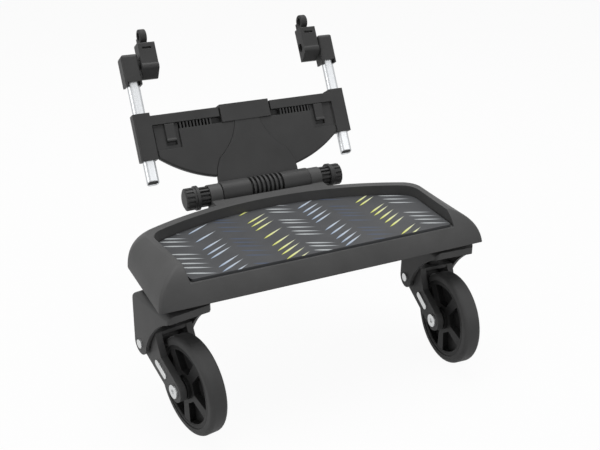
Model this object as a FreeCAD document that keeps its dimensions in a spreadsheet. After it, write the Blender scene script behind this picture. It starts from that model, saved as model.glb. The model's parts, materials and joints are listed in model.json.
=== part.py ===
"""Buggy board: a riding deck on two sprung casters, with a folding neck that clamps on behind a stroller.

Frame: X to the right, Y towards the stroller, Z up, floor at zero.
All lengths are millimetres, all angles degrees.
"""
import FreeCAD, Part
import os
import re
import Sketcher

SIZES = {
    # Fits and cuts
    "overrun": 1.0,
    "pin_gap": 0.05,
    "slide_gap": 0.3,
    # Deck: heights are above the floor, depths run back from the deck's front edge
    "deck_front": -131.5,
    "deck_width": 385.0,
    "deck_foot_height": 151.0,
    "deck_waist_rise": 21.0,
    "deck_brim_rise": 36.0,
    "foot_taper": 1.5,
    "foot_side_depth": 112.0,
    "foot_back_depth": 167.0,
    "waist_front_inset": 7.5,
    "waist_back_inset": 6.5,
    "waist_setback": 9.0,
    "waist_side_depth": 111.0,
    "waist_back_depth": 166.0,
    "brim_front_inset": 29.0,
    "brim_back_inset": 21.0,
    "brim_setback": 27.0,
    "brim_side_depth": 104.0,
    "brim_back_depth": 161.0,
    "front_corner_radius": 3.5,
    "back_corner_radius": 22.0,
    "back_corner_turn": 64.0,
    "tray_front_inset": 36.5,
    "tray_back_inset": 28.5,
    "tray_side_depth": 96.0,
    "tray_back_depth": 150.0,
    "tray_floor_rise": 21.4,
    "tray_floor_wall": 3.4,
    "cell_side_margin": 52.5,
    "cell_width": 35.0,
    "cell_rib": 3.0,
    "cell_front_depth": 12.0,
    "mat_thickness": 3.0,
    "mat_gap": 1.2,
    "mat_front_depth": 12.0,
    # Hinge at the back of the deck
    "hinge_gap": 6.0,
    "hinge_lift": 2.0,
    "barrel_gap": 0.8,
    "saddle_root": 9.0,
    "saddle_wall": 4.5,
    "saddle_drop": 1.5,
    "saddle_sink": 0.5,
    "axle_radius": 5.0,
    "barrel_half": 56.7,
    "barrel_radius": 14.0,
    "groove_width": 3.0,
    "groove_depth": 4.0,
    "groove_pitch": 5.6,
    "knuckle_length": 15.0,
    "knuckle_radius": 13.0,
    "collar_length": 12.5,
    "collar_core_radius": 9.0,
    "collar_tooth_radius": 11.8,
    "collar_tooth_width": 2.6,
    "knob_length": 16.5,
    "knob_radius": 13.2,
    "knob_flange_radius": 14.6,
    "knob_flange_length": 3.5,
    "knob_nose": 3.0,
    "knob_flute_radius": 1.5,
    # Neck: heights run up the leaning neck from the hinge axis, setbacks run back from the hinge axis
    "neck_tilt": 28.0,
    "shell_front": 9.7,
    "shell_back": 25.0,
    "box_half": 32.0,
    "box_top": 107.5,
    "box_front": 9.0,
    "box_floor": 86.0,
    "box_back_wall": 2.5,
    "waist_half": 16.0,
    "cover_bend_half": 24.5,
    "cover_bend_rise": 64.5,
    "cover_knee_half": 43.0,
    "cover_knee_rise": 45.0,
    "cover_hip_half": 50.0,
    "cover_hip_rise": 31.0,
    "cover_foot_half": 52.5,
    "cover_foot_rise": 16.0,
    "cover_front": 9.7,
    "cover_chin_rise": 46.0,
    "cover_chin_front": 9.2,
    "cover_back": 12.5,
    "cover_seam": 0.3,
    "wing_front": 10.2,
    "wing_back": 17.0,
    "wing_half": 116.8,
    "wing_top": 85.7,
    "wing_shoulder_rise": 53.5,
    "wing_belly_half": 88.0,
    "wing_belly_rise": 35.0,
    "wing_foot_half": 53.0,
    "wing_foot_rise": 22.5,
    "wing_lip": 2.5,
    "bar_floor": 93.7,
    "bar_height": 11.3,
    "bar_inner_half": 34.0,
    "tongue_reach": 25.0,
    "tongue_thickness": 5.6,
    "tooth_pitch": 4.2,
    "tooth_width": 2.0,
    "tooth_first_half": 46.5,
    "rack_back_wall": 3.0,
    "rack_lap": 8.0,
    "pocket_inner_half": 87.0,
    "pocket_floor_rise": 63.0,
    "pocket_depth": 2.4,
    "slot_width": 13.0,
    "slot_height": 4.5,
    "slot_floor": 1.5,
    "latch_half": 98.0,
    "latch_width": 11.5,
    "latch_thickness": 2.5,
    "latch_foot_rise": 72.0,
    "latch_grip_height": 3.5,
    "latch_grip_depth": 0.8,
    # Arms' sleeves, tubes and caps
    "tube_half": 128.5,
    "tube_width": 15.0,
    "tube_depth": 9.0,
    "tube_wall": 1.2,
    "tube_setback": 18.5,
    "tube_foot_rise": 25.0,
    "tube_head_rise": 158.0,
    "tube_foot_slant": 5.0,
    "plug_height": 12.0,
    "sleeve_wall": 2.2,
    "sleeve_foot_rise": 53.5,
    "sleeve_head_rise": 109.0,
    "sleeve_edge_radius": 3.0,
    "cap_width": 20.0,
    "cap_depth": 18.0,
    "cap_foot_rise": 143.5,
    "cap_notch_height": 4.0,
    "cap_head_rise": 180.5,
    "cap_edge_radius": 3.0,
    "cap_corner_radius": 4.5,
    "cap_pin_radius": 2.0,
    "cap_pin_rise": 152.5,
    # Clamps beside the caps
    "clamp_rise": 168.0,
    "clamp_bolt_radius": 4.0,
    "clamp_bolt_grip": 10.0,
    "clamp_boss_radius": 5.2,
    "clamp_boss_length": 2.0,
    "block_width": 20.5,
    "block_front": 7.5,
    "block_back": 25.0,
    "block_head_rise": 192.0,
    "block_foot_rise": 151.0,
    "block_slope_back": 21.0,
    "block_slope_rise": 159.0,
    "block_slope_setback": 9.0,
    "block_roll_height": 8.0,
    "block_roll_bulge": 1.2,
    "block_slot_rise": 184.0,
    "block_slot_height": 2.4,
    "block_slot_width": 11.0,
    "block_slot_depth": 3.0,
    "block_edge_radius": 1.5,
    "strap_width": 8.5,
    "loop_rise": 202.0,
    "loop_setback": 20.0,
    "loop_radius": 8.8,
    "loop_bore_radius": 5.0,
    "loop_edge_radius": 1.4,
    "strap_root_rise": 187.0,
    "strap_root_depth": 6.0,
    "strap_tail_thickness": 3.0,
    "strap_tail_foot_rise": 158.0,
    "strap_lobe_radius": 3.2,
    "strap_lobe_pitch": 12.5,
    # Casters: heights are above the floor, reaches run back from the swivel axis
    "swivel_inset": 28.8,
    "swivel_depth": 42.0,
    "swivel_left": 10.5,
    "swivel_right": -4.0,
    "stem_radius": 6.0,
    "stem_top": 168.0,
    "stem_head_radius": 8.0,
    "stem_head_height": 3.0,
    "bush_wall": 2.5,
    "boss_radius": 16.0,
    "washer_radius": 15.0,
    "washer_thickness": 2.4,
    "crown_top": 145.0,
    "crown_plate": 4.5,
    "crown_half": 28.0,
    "cheek_thickness": 4.0,
    "cheek_front_reach": 38.0,
    "cheek_front_height": 137.0,
    "cheek_arch_reach": 3.0,
    "cheek_arch_height": 114.0,
    "cheek_heel_reach": 18.0,
    "cheek_heel_height": 83.0,
    "cheek_back_reach": 40.0,
    "crown_back_radius": 12.0,
    "crown_side_radius": 6.5,
    "crown_corner_radius": 4.0,
    "visor_half": 19.0,
    "visor_setback": 14.0,
    "pivot_reach": 29.5,
    "pivot_height": 84.5,
    "ear_radius": 12.5,
    "pivot_radius": 4.0,
    "pivot_head_radius": 5.0,
    "pivot_head_height": 1.8,
    "trail": 29.0,
    "wheel_radius": 54.0,
    "swing_inner_half": 14.5,
    "swing_thickness": 7.5,
    "swing_axle_radius": 12.5,
    "swing_pivot_radius": 13.5,
    "swing_tube_radius": 9.0,
    "bridge_front_reach": 6.0,
    "bridge_back_reach": 28.0,
    "bridge_floor": 101.0,
    "bridge_thickness": 4.0,
    "buffer_radius": 8.5,
    "buffer_reach": 17.5,
    "badge_length": 24.0,
    "badge_width": 7.5,
    "badge_thickness": 1.4,
    "bolt_radius": 4.0,
    "bolt_head_radius": 7.5,
    "bolt_head_height": 2.2,
    "bolt_socket_radius": 2.6,
    "bolt_socket_depth": 1.2,
    # Wheels
    "tyre_width": 20.0,
    "tyre_height": 8.5,
    "tyre_tread_inset": 4.0,
    "tyre_wall_drop": 5.0,
    "tyre_shoulder_drop": 1.5,
    "tyre_shoulder_inset": 1.2,
    "rim_width": 18.6,
    "rim_thickness": 3.8,
    "web_thickness": 18.0,
    "hub_radius": 13.0,
    "hub_bush_radius": 7.5,
    "bush_flange_radius": 10.0,
    "bush_flange_height": 1.5,
    "bush_length": 10.0,
    "window_web": 3.0,
    "window_foot_radius": 17.0,
    "window_foot_half": 6.5,
    "window_margin": 1.4,
    "window_half_turn": 27.5,
    # Screws
    "screw_radius": 1.6,
    "screw_head_radius": 3.2,
    "screw_head_height": 1.8,
    "arm_screw_inner_half": 58.0,
    "arm_screw_outer_half": 110.0,
    "neck_screw_half": 22.0,
    "neck_screw_low_rise": 40.0,
    "neck_screw_high_rise": 72.0,
    "neck_screw_high_half": 9.0,
}
SIDES = (("left", -1), ("right", 1))
CELL_COLUMNS = 7
CELL_ROWS = 3
GROOVES = 8
COLLAR_BARS = 7
KNOB_FLUTES = 14
RACK_TEETH = 10
STRAP_LOBES = 3
SPOKES = 5
BADGE_SHARE = 0.06

doc = FreeCAD.newDocument("BuggyBoard")
sheet = doc.addObject("Spreadsheet::Sheet", "Sizes")
for row, (alias, number) in enumerate(SIZES.items(), start=1):
    sheet.set(f"A{row}", str(number))
    sheet.setAlias(f"A{row}", alias)
doc.recompute()
PIECES = []


def words(expression):
    """The expression with every name of a size led back to its cell of the sheet."""
    return re.sub(r"[a-z_]+", lambda word: f"Sizes.{word[0]}" if word[0] in SIZES else word[0],
                  str(expression))


def bind(item, target, expression):
    item.setExpression(target, words(expression))


def value(expression):
    return float(sheet.evalExpression(words(expression)))


def finish(item, node, frame=None):
    """Name the piece, set it into its frame and note it for writing."""
    item.Label = node
    if frame:
        bind(item, "Placement", frame)
    PIECES.append(item)


# Solids that the pieces are put together from

def box(name, low, high):
    """Block between two corners."""
    made = doc.addObject("Part::Box", name)
    for side, start, end in zip(("Length", "Width", "Height"), low, high):
        bind(made, side, f"abs(({end}) - ({start}))")
    for axis, start, end in zip("xyz", low, high):
        bind(made, f"Placement.Base.{axis}", f"min({start}; {end})")
    return made


TURNS = {
    "x": FreeCAD.Rotation(FreeCAD.Vector(0, 1, 0), 90),
    "y": FreeCAD.Rotation(FreeCAD.Vector(1, 0, 0), -90),
    "z": FreeCAD.Rotation(),
}


def rod(name, axis, start, radius, length):
    """Cylinder of a length along an axis, from the start point."""
    made = doc.addObject("Part::Cylinder", name)
    made.Placement = FreeCAD.Placement(FreeCAD.Vector(), TURNS[axis])
    bind(made, "Radius", radius)
    bind(made, "Height", length)
    for letter, place in zip("xyz", start):
        bind(made, f"Placement.Base.{letter}", place)
    return made


def cross_rod(name, start, end, reach, height, radius):
    """Cylinder along X from start to end, at a reach and a height."""
    return rod(name, "x", (f"min({start}; {end})", reach, height), radius, f"abs(({end}) - ({start}))")


def fuse(name, shapes):
    made = doc.addObject("Part::MultiFuse", name)
    made.Shapes = shapes
    return made


def cut(name, base, tools):
    made = doc.addObject("Part::Cut", name)
    made.Base = base
    made.Tool = tools[0] if len(tools) == 1 else fuse(name + "_tools", tools)
    return made


def common(name, first, second):
    made = doc.addObject("Part::MultiCommon", name)
    made.Shapes = [first, second]
    return made


def group(name, shapes):
    made = doc.addObject("Part::Compound", name)
    made.Links = shapes
    return made


def rounded(name, base, radius, wanted):
    """Fillet of the edges that the test picks."""
    doc.recompute()
    made = doc.addObject("Part::Fillet", name)
    made.Base = base
    size = value(radius)
    made.Edges = [(i, size, size) for i, edge in enumerate(base.Shape.Edges, start=1) if wanted(edge)]
    return made


def origin(body, role):
    return next(item for item in body.Origin.OriginFeatures if item.Role == role)


def sketch(body, name, plane, lift, outline):
    """Closed outline on an origin plane, lifted along the plane's normal.

    An entry (u, v) is a corner.
    An entry ("arc", u, v) is a point that the arc between its two neighbours passes.
    """
    made = body.newObject("Sketcher::SketchObject", name)
    made.AttachmentSupport = [(origin(body, plane), "")]
    made.MapMode = "FlatFace"
    bind(made, "AttachmentOffset.Base.z", lift)
    ring = list(outline) + [outline[0]]
    edges = []
    for here, after, beyond in zip(ring, ring[1:], ring[2:] + [ring[1]]):
        if here[0] == "arc":
            continue
        edges.append((here, beyond, after[1:]) if after[0] == "arc" else (here, after, None))
    ends = []
    for start, end, middle in edges:
        first, last = (FreeCAD.Vector(value(u), value(v), 0) for u, v in (start, end))
        if middle is None:
            number = made.addGeometry(Part.LineSegment(first, last))
        else:
            between = FreeCAD.Vector(value(middle[0]), value(middle[1]), 0)
            number = made.addGeometry(Part.Arc(first, between, last))
        forward = made.getPoint(number, 1).distanceToPoint(first) < made.getPoint(number,
                                                                                  2).distanceToPoint(first)
        ends.append((number, 1, 2) if forward else (number, 2, 1))
    for (number, head, tail), (other, other_head, other_tail) in zip(ends, ends[1:] + ends[:1]):
        made.addConstraint(Sketcher.Constraint("Coincident", number, tail, other, other_head))
    for (start, end, middle), (number, head, tail) in zip(edges, ends):
        pin(made, number, head, start)
        if middle is not None:
            through = FreeCAD.Vector(value(middle[0]), value(middle[1]), 0)
            mark = made.addGeometry(Part.Point(through), True)
            pin(made, mark, 1, middle)
            made.addConstraint(Sketcher.Constraint("PointOnObject", mark, 1, number))
    return made


def arch(left, right, foot, head, radius, fall):
    """Outline with two round corners at its head; the fall is the radius, signed as the head less the foot."""
    soft, down = f"({radius}) * (1 - cos(45))", f"({fall}) * (1 - cos(45))"
    return [
        (left, foot),
        (right, foot),
        (right, f"{head} - ({fall})"),
        ("arc", f"{right} - {soft}", f"{head} - {down}"),
        (f"{right} - ({radius})", head),
        (f"{left} + ({radius})", head),
        ("arc", f"{left} + {soft}", f"{head} - {down}"),
        (left, f"{head} - ({fall})"),
    ]


def mirror(points):
    """The mirror image of an outline's right half, in the order that leads on from it."""
    return [(*point[:-2], f"-({point[-2]})", point[-1]) for point in reversed(points)]


def pin(drawing, number, end, place):
    """Hold a point of a sketch at two bound distances from the sketch's origin."""
    for kind, axis, expression in zip(("DistanceX", "DistanceY"), (-2, -1), place):
        if expression == "0":
            drawing.addConstraint(Sketcher.Constraint("PointOnObject", number, end, axis))
        else:
            index = drawing.addConstraint(Sketcher.Constraint(kind, -1, 1, number, end, value(expression)))
            bind(drawing, f"Constraints[{index}]", expression)


def plate(name, plane, lift, outline, length):
    """Body with one pad of the outline, along the plane's normal."""
    body = doc.addObject("PartDesign::Body", name)
    pad = body.newObject("PartDesign::Pad", name + "_pad")
    pad.Profile = sketch(body, name + "_outline", plane, lift, outline)
    bind(pad, "Length", length)
    return body


def turned(name, outline):
    """Body turned about X: the outline holds places along X and radii."""
    body = doc.addObject("PartDesign::Body", name)
    profile = sketch(body, name + "_outline", "XY_Plane", "0", outline)
    turn = body.newObject("PartDesign::Revolution", name + "_turn")
    turn.Profile = profile
    turn.ReferenceAxis = (origin(body, "X_Axis"), [""])
    turn.Angle = 360
    return body


def oval(name, middle, setback, width, depth, foot, length):
    """Upright bar of flat-oval section."""
    flat, half = f"({width} - ({depth})) / 2", f"({depth}) / 2"
    outline = [
        (f"{middle} - {flat}", f"{setback} - {half}"),
        (f"{middle} + {flat}", f"{setback} - {half}"),
        ("arc", f"{middle} + ({width}) / 2", setback),
        (f"{middle} + {flat}", f"{setback} + {half}"),
        (f"{middle} - {flat}", f"{setback} + {half}"),
        ("arc", f"{middle} - ({width}) / 2", setback),
    ]
    return plate(name, "XY_Plane", foot, outline, length)


def link(name, start, start_radius, end, end_radius, low, high):
    """Flat bar with round ends between two points of the YZ plane, from x = low to x = high."""
    span = f"sqrt(({end[0]} - ({start[0]}))^2 + ({end[1]} - ({start[1]}))^2)"
    across = (f"(({start[1]}) - ({end[1]})) / {span}", f"(({end[0]}) - ({start[0]})) / {span}")

    def corner(point, radius, sign):
        return tuple(f"{place} + {sign} * ({radius}) * {share}" for place, share in zip(point, across))

    outline = [corner(start, start_radius, 1), corner(start, start_radius, -1),
               corner(end, end_radius, -1), corner(end, end_radius, 1)]
    return fuse(name, [
        plate(name + "_web", "YZ_Plane", low, outline, f"({high}) - ({low})"),
        cross_rod(name + "_start", low, high, *start, start_radius),
        cross_rod(name + "_end", low, high, *end, end_radius),
    ])


def screw(name, place, length):
    """Pan-head screw driven forwards: its head's seat is at the place."""
    x, y, z = place
    head = rod(name + "_head", "y", (x, y, z), "screw_head_radius", "screw_head_height")
    shank = rod(name + "_shank", "y", (x, f"{y} - ({length})", z), "screw_radius", length)
    return fuse(name, [head, shank])


def screw_hole(name, place, length):
    x, y, z = place
    start = (x, f"{y} - ({length}) - pin_gap", z)
    return rod(name, "y", start, "screw_radius + pin_gap", f"{length} + overrun")


# Frames that the pieces are set into

HINGE_AXIS = ("(deck_front + brim_back_depth + hinge_gap + barrel_radius)",
              "(deck_foot_height + deck_brim_rise + hinge_lift)")
SWIVEL_HALF = "(deck_width / 2 - swivel_inset)"
NECK = f"placement(vector(0; {HINGE_AXIS[0]}; {HINGE_AXIS[1]}); rotation(vector(1; 0; 0); -neck_tilt))"
HINGE = f"placement(vector(0; {HINGE_AXIS[0]}; {HINGE_AXIS[1]}); rotation(vector(1; 0; 0); 0))"
KNUCKLE_END = "(barrel_half + barrel_gap + knuckle_length)"
COLLAR_START = f"({KNUCKLE_END} + slide_gap)"
KNOB_START = f"({COLLAR_START} + collar_length)"
KNOB_END = f"({KNOB_START} + knob_length)"


def caster_frame(side, sign):
    place = f"vector({sign} * {SWIVEL_HALF}; deck_front + swivel_depth; 0)"
    return f"placement({place}; rotation(vector(0; 0; 1); swivel_{side}))"


# Deck

def deck_outline(front_inset, back_inset, setback, side_depth, back_depth):
    """Plan outline: straight front and sides, round corners, and a back edge that sweeps out midway."""
    front, side = f"deck_front + ({setback})", f"deck_front + {side_depth}"
    soft = "front_corner_radius * (1 - cos(45))"
    front_half, back_half = f"deck_width / 2 - {front_inset}", f"deck_width / 2 - {back_inset}"
    half = [
        (f"{front_half} - front_corner_radius", front),
        ("arc", f"{front_half} - {soft}", f"{front} + {soft}"),
        (front_half, f"{front} + front_corner_radius"),
        (back_half, side),
        ("arc", f"{back_half} - back_corner_radius * (1 - cos(back_corner_turn / 2))",
         f"{side} + back_corner_radius * sin(back_corner_turn / 2)"),
        (f"{back_half} - back_corner_radius * (1 - cos(back_corner_turn))",
         f"{side} + back_corner_radius * sin(back_corner_turn)"),
    ]
    return half + [("arc", "0", f"deck_front + {back_depth}")] + mirror(half)


def deck_shell():
    """Loft with bulging sides, with the tray sunk into its top and open at the front."""
    body = doc.addObject("PartDesign::Body", "deck_shell")
    foot = deck_outline("0", "foot_taper", "0", "foot_side_depth", "foot_back_depth")
    waist = deck_outline("waist_front_inset", "waist_back_inset", "waist_setback", "waist_side_depth",
                         "waist_back_depth")
    brim = deck_outline("brim_front_inset", "brim_back_inset", "brim_setback", "brim_side_depth",
                        "brim_back_depth")
    loft = body.newObject("PartDesign::AdditiveLoft", "deck_loft")
    loft.Profile = sketch(body, "deck_foot", "XY_Plane", "deck_foot_height", foot)
    loft.Sections = [
        sketch(body, "deck_waist", "XY_Plane", "deck_foot_height + deck_waist_rise", waist),
        sketch(body, "deck_brim", "XY_Plane", "deck_foot_height + deck_brim_rise", brim),
    ]
    body.Tip = loft
    doc.recompute()
    tray = deck_outline("tray_front_inset", "tray_back_inset", "-front_corner_radius - overrun",
                        "tray_side_depth",
                        "tray_back_depth")
    pocket = body.newObject("PartDesign::Pocket", "deck_tray")
    pocket.Profile = sketch(body, "deck_tray_outline", "XY_Plane", "deck_foot_height + deck_brim_rise",
                            tray)
    bind(pocket, "Length", "deck_brim_rise - tray_floor_rise")
    body.Tip = pocket
    return body


def deck_cells():
    """Hollows under the tray, between the ribs."""
    made = []
    pitch = f"(deck_width - 2 * cell_side_margin) / {CELL_COLUMNS}"
    half = f"({pitch} - cell_rib) / 2"
    for column in range(CELL_COLUMNS):
        middle = f"{column - (CELL_COLUMNS - 1) / 2} * {pitch}"
        for row in range(CELL_ROWS):
            front = f"deck_front + cell_front_depth + {row} * (cell_width + cell_rib)"
            made.append(box(
                f"deck_cell_{column}_{row}",
                (f"{middle} - {half}", front, "deck_foot_height - overrun"),
                (f"{middle} + {half}", f"{front} + cell_width",
                 "deck_foot_height + tray_floor_rise - tray_floor_wall")))
    return made


def deck_board():
    """Shell with ribs below, a hinge saddle between two knuckles, and two swivel bosses."""
    clear = "(barrel_half + barrel_gap)"
    solids, hollows = [deck_shell(), deck_saddle()], deck_cells()
    hollows.append(cross_rod("deck_saddle_bed", f"-{clear}", clear, *HINGE_AXIS,
                             "barrel_radius + barrel_gap"))
    for side, sign in SIDES:
        inner, outer = f"{sign} * {clear}", f"{sign} * {KNUCKLE_END}"
        solids.append(cross_rod(f"deck_knuckle_{side}", inner, outer, *HINGE_AXIS, "knuckle_radius"))
        foot = (f"{sign} * {SWIVEL_HALF}", "deck_front + swivel_depth",
                "crown_top + washer_thickness + slide_gap")
        solids.append(rod(f"deck_boss_{side}", "z", foot, "boss_radius",
                          "deck_foot_height + tray_floor_wall - crown_top - washer_thickness - slide_gap"))
        hollows.append(rod(f"deck_socket_{side}", "z", foot, "stem_radius + bush_wall + pin_gap",
                           "stem_top + slide_gap - crown_top - washer_thickness"))
        hollows.append(cross_rod(f"deck_bore_{side}", f"{inner} - {sign} * overrun",
                                 f"{outer} + {sign} * overrun",
                                 *HINGE_AXIS, "axle_radius + pin_gap"))
    finish(cut("deck_board", fuse("deck_solids", solids), hollows), "deck_board")


def deck_saddle():
    """Bar along the deck's back edge that the hinge lies in, with a front lip just below the hinge axis."""
    front = f"{HINGE_AXIS[0]} - barrel_radius - hinge_gap - saddle_root"
    foot = f"{HINGE_AXIS[1]} - knuckle_radius - saddle_wall"
    lip = f"{HINGE_AXIS[1]} - saddle_drop"
    outline = [
        (front, foot),
        (HINGE_AXIS[0], foot),
        (HINGE_AXIS[0], lip),
        (f"{HINGE_AXIS[0]} - barrel_radius - barrel_gap - saddle_sink", lip),
        (front, "deck_foot_height + deck_brim_rise - saddle_sink"),
    ]
    return plate("deck_saddle", "YZ_Plane", f"-{KNUCKLE_END}", outline, f"2 * {KNUCKLE_END}")


def deck_mat():
    """Flat mat lying in the tray, with a gap all round."""
    outline = deck_outline("(tray_front_inset + mat_gap)", "(tray_back_inset + mat_gap)", "mat_front_depth",
                           "tray_side_depth - mat_gap", "tray_back_depth - mat_gap")
    finish(plate("deck_mat", "XY_Plane", "deck_foot_height + tray_floor_rise", outline, "mat_thickness"),
           "deck_mat")


def swivel_bushes():
    """Plain bearings of the swivel stems, pressed up into the deck's bosses."""
    for side, sign in SIDES:
        foot = (f"{sign} * {SWIVEL_HALF}", "deck_front + swivel_depth",
                "crown_top + washer_thickness + slide_gap")
        length = "stem_top - crown_top - washer_thickness - slide_gap"
        wall = rod(f"bush_wall_{side}", "z", foot, "stem_radius + bush_wall", length)
        low = (foot[0], foot[1], f"{foot[2]} - overrun")
        bore = rod(f"bush_bore_{side}", "z", low, "stem_radius + pin_gap", f"{length} + 2 * overrun")
        finish(cut(f"bush_{side}", wall, [bore]), f"swivel_bush_{side}")


# Hinge

def hinge_axle():
    """Plain rod through the barrel, the knuckles, the collars and the knobs."""
    outline = [(f"-{KNOB_END} + knob_nose", "0"), (f"{KNOB_END} - knob_nose", "0"),
               (f"{KNOB_END} - knob_nose", "axle_radius"), (f"-{KNOB_END} + knob_nose", "axle_radius")]
    finish(turned("hinge_axle", outline), "hinge_axle", HINGE)


def hinge_collars():
    """Toothed rings between the deck's knuckles and the knobs."""
    for side, sign in SIDES:
        start, end = f"{sign} * {COLLAR_START}", f"{sign} * {KNOB_START}"
        solids = [cross_rod(f"collar_core_{side}", start, end, "0", "0", "collar_core_radius")]
        for number in range(COLLAR_BARS):
            bar = box(f"collar_bar_{side}_{number}", (start, "0", "0"), (end, "collar_tooth_width", "0"))
            bind(bar, "Height", "2 * collar_tooth_radius")
            angle = f"{number} * 180 / {COLLAR_BARS}"
            centre = f"vector(min({start}; {end}); 0; 0)"
            turn = f"rotation(vector(1; 0; 0); {angle})"
            corner = "vector(0; -collar_tooth_width / 2; -collar_tooth_radius)"
            seat = f"placement({corner}; rotation(vector(1; 0; 0); 0))"
            bind(bar, "Placement", f"placement({centre}; {turn}) * {seat}")
            solids.append(bar)
        bore = cross_rod(f"collar_bore_{side}", f"{start} - {sign} * overrun", f"{end} + {sign} * overrun",
                         "0", "0", "axle_radius + pin_gap")
        finish(cut(f"collar_{side}", fuse(f"collar_solid_{side}", solids), [bore]), f"hinge_collar_{side}",
               HINGE)


def hinge_knobs():
    """Fluted knobs with a flange at their inner end and a blind bore for the axle."""
    for side, sign in SIDES:
        def at(place):
            return f"{sign} * ({place})"

        outline = [
            (at(KNOB_START), "0"),
            (at(f"{KNOB_END}"), "0"),
            (at(f"{KNOB_END}"), "knob_radius - knob_nose"),
            (at(f"{KNOB_END} - knob_nose / 2"), "knob_radius"),
            (at(f"{KNOB_START} + knob_flange_length"), "knob_radius"),
            (at(f"{KNOB_START} + knob_flange_length"), "knob_flange_radius"),
            (at(KNOB_START), "knob_flange_radius"),
        ]
        tools = [cross_rod(f"knob_bore_{side}", at(f"{KNOB_START} - overrun"),
                           at(f"{KNOB_END} - knob_nose + slide_gap"), "0", "0", "axle_radius + pin_gap")]
        for number in range(KNOB_FLUTES):
            angle = f"{number} * 360 / {KNOB_FLUTES}"
            tools.append(cross_rod(
                f"knob_flute_{side}_{number}", at(f"{KNOB_START} + knob_flange_length + knob_nose"),
                at(f"{KNOB_END} + overrun"), f"knob_radius * cos({angle})", f"knob_radius * sin({angle})",
                "knob_flute_radius"))
        finish(cut(f"knob_{side}", turned(f"knob_turned_{side}", outline), tools), f"hinge_knob_{side}",
               HINGE)


# Neck

def neck_barrel():
    """Hinge barrel with a row of ring grooves at its middle."""
    outline = [("-barrel_half", "0"), ("barrel_half", "0"), ("barrel_half", "barrel_radius")]
    for number in reversed(range(GROOVES)):
        middle = f"{number - (GROOVES - 1) / 2} * groove_pitch"
        for sign, inner in ((1, False), (1, True), (-1, True), (-1, False)):
            depth = " - groove_depth" if inner else ""
            outline.append((f"{middle} + {sign} * groove_width / 2", f"barrel_radius{depth}"))
    outline.append(("-barrel_half", "barrel_radius"))
    return turned("neck_barrel", outline)


def cover_face(name, margin, lift, length):
    """T shape seen from the front, grown by a margin: box, waist, and a foot that spreads to the barrel."""
    half = [
        (f"box_half + {margin}", "box_top"),
        (f"box_half + {margin}", f"box_floor - {margin}"),
        (f"waist_half + {margin}", f"box_floor - {margin}"),
        ("arc", f"cover_bend_half + {margin}", "cover_bend_rise"),
        (f"cover_knee_half + {margin}", "cover_knee_rise"),
        ("arc", f"cover_hip_half + {margin}", "cover_hip_rise"),
        (f"cover_foot_half + {margin}", "cover_foot_rise"),
        (f"cover_foot_half + {margin}", "0"),
    ]
    return plate(name, "XZ_Plane", lift, half + mirror(half), length)


def neck_cover():
    """Front shell: its face outline crossed with its side view, and the hinge barrel at its foot."""
    side = [
        ("box_front", "box_top"),
        ("cover_back", "box_top"),
        ("cover_back", "0"),
        ("cover_chin_front", "0"),
        ("cover_chin_front", "cover_chin_rise"),
        ("cover_front", "box_floor"),
        ("box_front", "box_floor"),
    ]
    front = cover_face("cover_face", "0", "-cover_back", "cover_back + barrel_radius")
    edge = plate("cover_side", "YZ_Plane", "-cover_foot_half", side, "2 * cover_foot_half")
    solid = fuse("cover_solid", [common("cover_shell", front, edge), neck_barrel()])
    tools = [cross_rod("cover_bore", "-barrel_half - overrun", "barrel_half + overrun", "0", "0",
                       "axle_radius + pin_gap")]
    finish(cut("neck_cover", solid, tools), "neck_cover", NECK)


NECK_SCREWS = [(f"{sign} * {half}", "wing_back", rise) for side, sign in SIDES
               for half, rise in (("neck_screw_half", "neck_screw_low_rise"),
                                  ("neck_screw_high_half", "neck_screw_high_rise"))]


def wing_plate():
    """Rear shell: two wings with a rounded lower lip, the housing of the sliding bars and the racks."""
    half = [
        ("wing_half", "wing_top"),
        ("wing_half", "wing_shoulder_rise"),
        ("arc", "wing_belly_half", "wing_belly_rise"),
        ("wing_foot_half", "wing_foot_rise"),
    ]
    wings = plate("wing_outline", "XZ_Plane", "-wing_back", half + mirror(half), "wing_back - wing_front")
    lipped = rounded("wing_lipped", wings, "wing_lip", wing_lip_edge)
    housing = box("wing_housing", ("-box_half", "cover_back", "wing_top - overrun"),
                  ("box_half", "shell_back + box_back_wall", "box_top"))
    channel = box("wing_channel", ("-box_half - overrun", "cover_back - overrun", "bar_floor - slide_gap"),
                  ("box_half + overrun", "shell_back + slide_gap", "bar_floor + bar_height + slide_gap"))
    bed = cover_face("cover_bed", "cover_seam", "-cover_back", "cover_back")
    solids, hollows = [lipped, housing], [channel, bed]
    rack_head = "bar_floor - slide_gap"
    for side, sign in SIDES:
        solids.append(box(f"rack_wall_{side}",
                          (f"{sign} * box_half", "wing_back - overrun", "wing_top - rack_lap"),
                          (f"{sign} * pocket_inner_half", "wing_back + rack_back_wall", rack_head)))
        for number in range(RACK_TEETH):
            middle = f"{sign} * (tooth_first_half + {number} * tooth_pitch)"
            solids.append(box(f"rack_tooth_{side}_{number}",
                              (f"{middle} - tooth_width / 2", "wing_front", "wing_top - overrun"),
                              (f"{middle} + tooth_width / 2", "wing_back", rack_head)))
        hollows.append(box(f"pocket_{side}",
                           (f"{sign} * pocket_inner_half", "wing_front - overrun", "pocket_floor_rise"),
                           (f"{sign} * (wing_half + overrun)", "wing_back + overrun", "bar_floor")))
    grip = "wing_back - cover_back"
    hollows += [screw_hole(f"neck_hole_{number}", place, f"{grip} + overrun")
                for number, place in enumerate(NECK_SCREWS)]
    finish(cut("wing_plate", fuse("wing_solid", solids), hollows), "wing_plate", NECK)
    screws = [screw(f"neck_screw_{number}", place, grip) for number, place in enumerate(NECK_SCREWS)]
    finish(group("neck_screws", screws), "neck_screws", NECK)


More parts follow.
